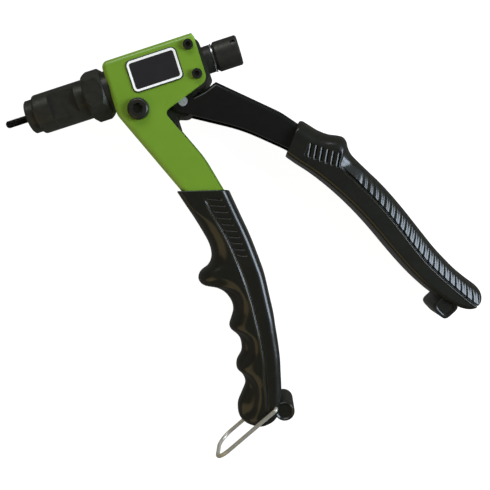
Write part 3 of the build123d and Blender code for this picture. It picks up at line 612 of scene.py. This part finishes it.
def finish_named(name, roughness, metallic=0.0, coat=0.0, coat_roughness=0.1, specular=0.5):
    """A material with one shader whose fixed numbers sit on its own sockets."""
    material = bpy.data.materials.new(name)
    material.use_nodes = True
    tree = material.node_tree
    shader = tree.nodes["Principled BSDF"]
    shader.inputs["Roughness"].default_value = roughness
    shader.inputs["Metallic"].default_value = metallic
    shader.inputs["Coat Weight"].default_value = coat
    shader.inputs["Coat Roughness"].default_value = coat_roughness
    shader.inputs["Specular IOR Level"].default_value = specular
    place = add(tree, "ShaderNodeTexCoord").outputs["Object"]
    return material, tree, shader, place


def mottled(tree, place, dark, light, size_mm, detail=3.0):
    """Colour that drifts between two near shades over patches of the given size."""
    noise = add(tree, "ShaderNodeTexNoise", Vector=place, Scale=1000 / size_mm, Detail=detail)
    ramp = add(tree, "ShaderNodeMix", {"data_type": "RGBA"}, i0=noise.outputs["Fac"])
    ramp.inputs[6].default_value = linear(dark)
    ramp.inputs[7].default_value = linear(light)
    return ramp.outputs[2]


def rough_between(tree, place, size_mm, low, high):
    """Roughness that drifts between two values over patches of the given size."""
    noise = add(tree, "ShaderNodeTexNoise", Vector=place, Scale=1000 / size_mm, Detail=4.0)
    return add(tree, "ShaderNodeMapRange", Value=noise.outputs["Fac"], From_Min=0.3, From_Max=0.7,
               To_Min=low, To_Max=high).outputs["Result"]


def grained(tree, place, shader, size_mm, depth_mm, strength=0.6):
    """Bump from noise of the given grain size and depth."""
    noise = add(tree, "ShaderNodeTexNoise", Vector=place, Scale=1000 / size_mm, Detail=2.0)
    bump_node = add(tree, "ShaderNodeBump", Height=noise.outputs["Fac"], Strength=strength,
                    Distance=depth_mm * MM)
    tree.links.new(bump_node.outputs["Normal"], shader.inputs["Normal"])


def turned_rings(tree, place, shader, pitch_mm, depth_mm):
    """Lathe marks: rings round the draw axis, broken up by a little noise."""
    split = add(tree, "ShaderNodeSeparateXYZ", Vector=place)
    drift = add(tree, "ShaderNodeTexNoise", Vector=place, Scale=160.0, Detail=2.0)
    phase = add(tree, "ShaderNodeMath", {"operation": "MULTIPLY_ADD"}, i0=split.outputs["X"],
                i1=2 * math.pi * 1000 / pitch_mm, i2=drift.outputs["Fac"])
    wave = add(tree, "ShaderNodeMath", {"operation": "SINE"}, i0=phase.outputs[0])
    bump_node = add(tree, "ShaderNodeBump", Height=wave.outputs[0], Strength=0.35,
                    Distance=depth_mm * MM)
    tree.links.new(bump_node.outputs["Normal"], shader.inputs["Normal"])


def gloss_enamel(name, dark, light, roughness, coat, coat_roughness=0.18, specular=0.5):
    """Stoved enamel on pressed steel: even colour, highlights as wide as the coat is rough, and
    a faint orange peel about 1.5 mm across."""
    material, tree, shader, place = finish_named(
        name, roughness, coat=coat, coat_roughness=coat_roughness, specular=specular)
    tree.links.new(mottled(tree, place, dark, light, 14.0), shader.inputs["Base Color"])
    tree.links.new(rough_between(tree, place, 5.0, roughness - 0.04, roughness + 0.05),
                   shader.inputs["Roughness"])
    grained(tree, place, shader, 1.5, 0.02)
    return material


def grip_plastic():
    """Moulded PVC grip: near-black with an olive cast and a wet-looking skin over the mould's
    fine sparked grain, which is drawn a little coarse, at 0.45 mm, so that it shows."""
    material, tree, shader, place = finish_named("moulded_pvc", 0.45, specular=0.22, coat=1.0,
                                                 coat_roughness=0.21)
    tree.links.new(mottled(tree, place, "#17170F", "#222218", 9.0), shader.inputs["Base Color"])
    tree.links.new(rough_between(tree, place, 2.5, 0.40, 0.52), shader.inputs["Roughness"])
    grained(tree, place, shader, 0.45, 0.02, 0.35)
    return material


def black_oxide(name, roughness, rings_mm):
    """Black oxide on steel: a dark conversion coat that keeps the metal's sheen, and the lathe's
    rings at the given pitch, or a fine grain where the piece wasn't turned."""
    material, tree, shader, place = finish_named(name, roughness, metallic=0.55, specular=0.4)
    tree.links.new(mottled(tree, place, "#373731", "#4E4D45", 4.0), shader.inputs["Base Color"])
    tree.links.new(rough_between(tree, place, 1.6, roughness - 0.06, roughness + 0.08),
                   shader.inputs["Roughness"])
    if rings_mm:
        turned_rings(tree, place, shader, rings_mm, 0.012)
    else:
        grained(tree, place, shader, 0.8, 0.02)
    return material


def bare_steel(name, dark, light, roughness, metallic=1.0):
    """Bright steel, ground, drawn or plated: fine patches of slightly different shade and
    polish.  Less than fully metallic reads as a pale plating."""
    material, tree, shader, place = finish_named(name, roughness, metallic=metallic)
    tree.links.new(mottled(tree, place, dark, light, 3.0), shader.inputs["Base Color"])
    tree.links.new(rough_between(tree, place, 1.2, roughness - 0.06, roughness + 0.08),
                   shader.inputs["Roughness"])
    grained(tree, place, shader, 0.5, 0.006, 0.4)
    return material


def printed_label():
    """Screen-printed plate under clear lacquer: a dark field and a pale line that follows the
    rounded edge.  The line is drawn from the distance to a rounded rectangle: the length of what
    sticks out past the corner's centre, or how far the place lies inside it."""
    material, tree, shader, place = finish_named("lacquered_print", 0.34, coat=0.4)
    split = add(tree, "ShaderNodeSeparateXYZ", Vector=place)
    corner = LABEL_CORNER
    parts = []
    for axis, centre, size in (("X", LABEL_CENTRE[0], LABEL_SIZE[0]),
                               ("Y", LABEL_CENTRE[1], LABEL_SIZE[1])):
        moved = add(tree, "ShaderNodeMath", {"operation": "MULTIPLY_ADD"},
                    i0=split.outputs[axis], i1=1000.0, i2=-centre)
        size_from = add(tree, "ShaderNodeMath", {"operation": "ABSOLUTE"}, i0=moved.outputs[0])
        past = add(tree, "ShaderNodeMath", {"operation": "SUBTRACT"}, i0=size_from.outputs[0],
                   i1=size / 2 - corner)
        parts.append(past.outputs[0])
    out = [add(tree, "ShaderNodeMath", {"operation": "MAXIMUM"}, i0=p, i1=0.0).outputs[0]
           for p in parts]
    squares = [add(tree, "ShaderNodeMath", {"operation": "MULTIPLY"}, i0=o, i1=o).outputs[0]
               for o in out]
    total = add(tree, "ShaderNodeMath", {"operation": "ADD"}, i0=squares[0], i1=squares[1])
    length = add(tree, "ShaderNodeMath", {"operation": "SQRT"}, i0=total.outputs[0])
    inner = add(tree, "ShaderNodeMath", {"operation": "MAXIMUM"}, i0=parts[0], i1=parts[1])
    inside = add(tree, "ShaderNodeMath", {"operation": "MINIMUM"}, i0=inner.outputs[0], i1=0.0)
    distance = add(tree, "ShaderNodeMath", {"operation": "ADD"}, i0=length.outputs[0],
                   i1=inside.outputs[0])
    edge = add(tree, "ShaderNodeMath", {"operation": "SUBTRACT"}, i0=distance.outputs[0],
               i1=corner - LINE_INSET)
    away = add(tree, "ShaderNodeMath", {"operation": "ABSOLUTE"}, i0=edge.outputs[0])
    line = add(tree, "ShaderNodeMapRange", Value=away.outputs[0], From_Min=0.50, From_Max=0.62,
               To_Min=1.0, To_Max=0.0)
    field = mottled(tree, place, "#2B282A", "#363234", 6.0)
    mix = add(tree, "ShaderNodeMix", {"data_type": "RGBA"}, i0=line.outputs["Result"])
    tree.links.new(field, mix.inputs[6])
    mix.inputs[7].default_value = linear("#FFFFFB")
    tree.links.new(mix.outputs[2], shader.inputs["Base Color"])
    # painted glow: the pale line emits a little light of its own on top of what the lamps give it
    painted_glow = add(tree, "ShaderNodeMath", {"operation": "MULTIPLY"}, i0=line.outputs["Result"],
               i1=LINE_PAINTED_GLOW)
    shader.inputs["Emission Color"].default_value = linear("#FFFFFB")
    tree.links.new(painted_glow.outputs[0], shader.inputs["Emission Strength"])
    return material


green_enamel = gloss_enamel("green_stoved_enamel", "#86B42F", "#95C23A", 0.36, 0.7)
black_enamel = gloss_enamel("black_stoved_enamel", "#0A0A07", "#11110C", 0.50, 1.0, 0.07, 0.2)
pvc = grip_plastic()
oxide_turned = black_oxide("black_oxide_turned", 0.42, 0.6)
oxide_body = black_oxide("black_oxide_machined", 0.36, 0.0)
oxide_screws = black_oxide("black_oxide_screws", 0.30, 0.0)
ground_steel = bare_steel("ground_steel", "#A9ABAE", "#C9CBCD", 0.26)
plated_pin = bare_steel("plated_pin", "#C4C6C8", "#E2E3E4", 0.30, 0.35)
rod_steel = bare_steel("hardened_rod_steel", "#34332F", "#4A4945", 0.36)
plated_wire = bare_steel("zinc_plated_wire", "#CFC8B4", "#F0EAD8", 0.34, 0.55)
spring_wire = bare_steel("drawn_spring_wire", "#7C7E82", "#94969A", 0.34)
label_print = printed_label()

NODE_FINISH = {
    "frame_channel": green_enamel, "head_body": oxide_body, "rear_bush": oxide_turned,
    "return_spring": spring_wire, "label_plate": label_print, "frame_bolt": oxide_screws,
    "frame_nut": oxide_screws, "body_screws": oxide_screws, "pivot_pin": plated_pin,
    "fixed_grip": pvc, "lever_channel": black_enamel, "lever_grip": pvc,
    "carriage": ground_steel, "trunnion_pins": ground_steel,
    "thrust_washer_front": ground_steel, "thrust_balls": ground_steel,
    "thrust_washer_rear": ground_steel, "spindle": ground_steel,
    "mandrel_chuck": oxide_turned, "chuck_cap": oxide_turned, "mandrel": rod_steel,
    "knob_washer": ground_steel, "knob": oxide_turned, "knob_screw": oxide_screws,
    "nose_sleeve": oxide_turned, "nose_piece": oxide_turned, "lock_nut": oxide_turned,
    "bail_wire": plated_wire,
}
for node_name, finish in NODE_FINISH.items():
    node_slots = nodes[node_name].data.materials
    node_slots.clear()
    node_slots.append(finish)

# ---- pieces on their bodies ----------------------------------------------------------------
PIECES = [
    (fixed_grip, "frame", "fixed_grip", "grip_plastic", pvc),
    (lug_drum, "frame", "fixed_grip", "grip_plastic", pvc),
    (lever_grip, "lever", "lever_grip", "grip_plastic", pvc),
    (lug_block, "lever", "lever_grip", "grip_plastic", pvc),
    (threaded_mandrel, "spindle", "mandrel", "mandrel_steel", rod_steel),
    (return_spring_coil, "frame", "return_spring", "spring_steel", spring_wire),
    (label_plate, "frame", "label_plate", "label_plate", label_print),
]
for make, body, node_name, slot_name, finish in PIECES:
    piece = make()
    piece.data.materials.append(finish)
    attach(piece, body)
    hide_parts(node_name)
    if make is return_spring_coil:
        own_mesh(piece)


# ---- floor, light and camera ---------------------------------------------------------------
def paper_white():
    """Matt white studio paper, lit from behind so evenly that it has no shade of its own."""
    material, tree, shader, place = finish_named("matt_white_paper", 0.9, specular=0.1)
    tree.links.new(mottled(tree, place, "#969696", "#9A9A9A", 60.0), shader.inputs["Base Color"])
    shader.inputs["Emission Color"].default_value = linear("#FFFFFF")
    shader.inputs["Emission Strength"].default_value = 0.97
    return material


def staged(name, vertices, faces, finish):
    """A sheet that the black finishes don't mirror."""
    mesh = bpy.data.meshes.new(name)
    mesh.from_pydata(vertices, [], faces)
    mesh.materials.append(finish)
    sheet = bpy.data.objects.new(name, mesh)
    bpy.context.scene.collection.objects.link(sheet)
    sheet.visible_glossy = False
    sheet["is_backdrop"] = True
    return sheet


def pale_floor(finish):
    """Plain pale sheet just under the lowest point."""
    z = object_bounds()[0][2] - 0.0002
    corners = [(-STAGE, -STAGE, z), (STAGE, -STAGE, z), (STAGE, STAGE, z), (-STAGE, STAGE, z)]
    staged("pale_floor", corners, [(0, 1, 2, 3)], finish)


def pale_backdrop(finish):
    """Round wall of the same paper: a circle of points swept up a quarter circle.  It only
    shows behind the object, and neither shades nor lights it."""
    turn, rise = np.meshgrid(np.linspace(0, 2 * np.pi, 49), np.linspace(-0.1, np.pi / 2, 13))
    points = STAGE * np.stack([np.cos(turn) * np.cos(rise), np.sin(turn) * np.cos(rise),
                               np.sin(rise)], axis=-1)
    index = np.arange(points.shape[0] * points.shape[1]).reshape(points.shape[:2])
    faces = np.stack([index[:-1, :-1], index[1:, :-1], index[1:, 1:], index[:-1, 1:]], axis=-1)
    wall = staged("pale_backdrop", points.reshape(-1, 3).tolist(),
                  faces.reshape(-1, 4).tolist(), finish)
    wall.visible_diffuse = False
    wall.visible_transmission = False
    wall.visible_shadow = False


def soft_light(name, place, aim, size, power, colour):
    """Rectangular soft box that faces its aim."""
    lamp = bpy.data.lights.new(name, "AREA")
    lamp.shape = "RECTANGLE"
    lamp.size, lamp.size_y = size
    lamp.energy = power
    lamp.color = linear(colour)[:3]
    box = bpy.data.objects.new(name, lamp)
    bpy.context.scene.collection.objects.link(box)
    box.location = place
    away = Vector(place) - Vector(aim)
    box.rotation_euler = away.to_track_quat("Z", "Y").to_euler()


STAGE = 3.0                 # metres from the middle to the floor's edge and the wall
paper = paper_white()
pale_floor(paper)
pale_backdrop(paper)
MIDDLE = (0.10, -0.09, 0.0)
soft_light("right_box", (0.80, -0.18, 0.42), MIDDLE, (0.46, 0.42), 6.3, "#D6E6F8")
soft_light("top_box", (0.15, 0.80, 0.55), MIDDLE, (0.9, 0.35), 3.0, "#F6F8FF")
soft_light("left_box", (-0.70, -0.40, 0.55), MIDDLE, (1.1, 0.9), 1.9, "#FFE6A6")

world = bpy.data.worlds.new("studio")
world.use_nodes = True
world.node_tree.nodes["Background"].inputs[0].default_value = linear("#FFFFFF")
world.node_tree.nodes["Background"].inputs[1].default_value = 0.07
bpy.context.scene.world = world

eye = bpy.data.cameras.new("camera")
eye.sensor_width = 36.0
eye.lens = 47.6
camera = bpy.data.objects.new("camera", eye)
bpy.context.scene.collection.objects.link(camera)
# the camera looks down on the side with the label, turned and tipped a few degrees
right = Vector((0.95366653, -0.29997962, -0.0230734))
up = Vector((0.29747695, 0.95162603, -0.07691134))
forward = Vector((-0.04502908, -0.06648396, -0.99677092))
turn = Matrix((right, up, -forward)).transposed().to_4x4()
camera.matrix_world = Matrix.Translation(Vector((0.10518, -0.07659, 0.350))) @ turn
bpy.context.scene.camera = camera
bpy.context.scene.view_settings.view_transform = "Standard"
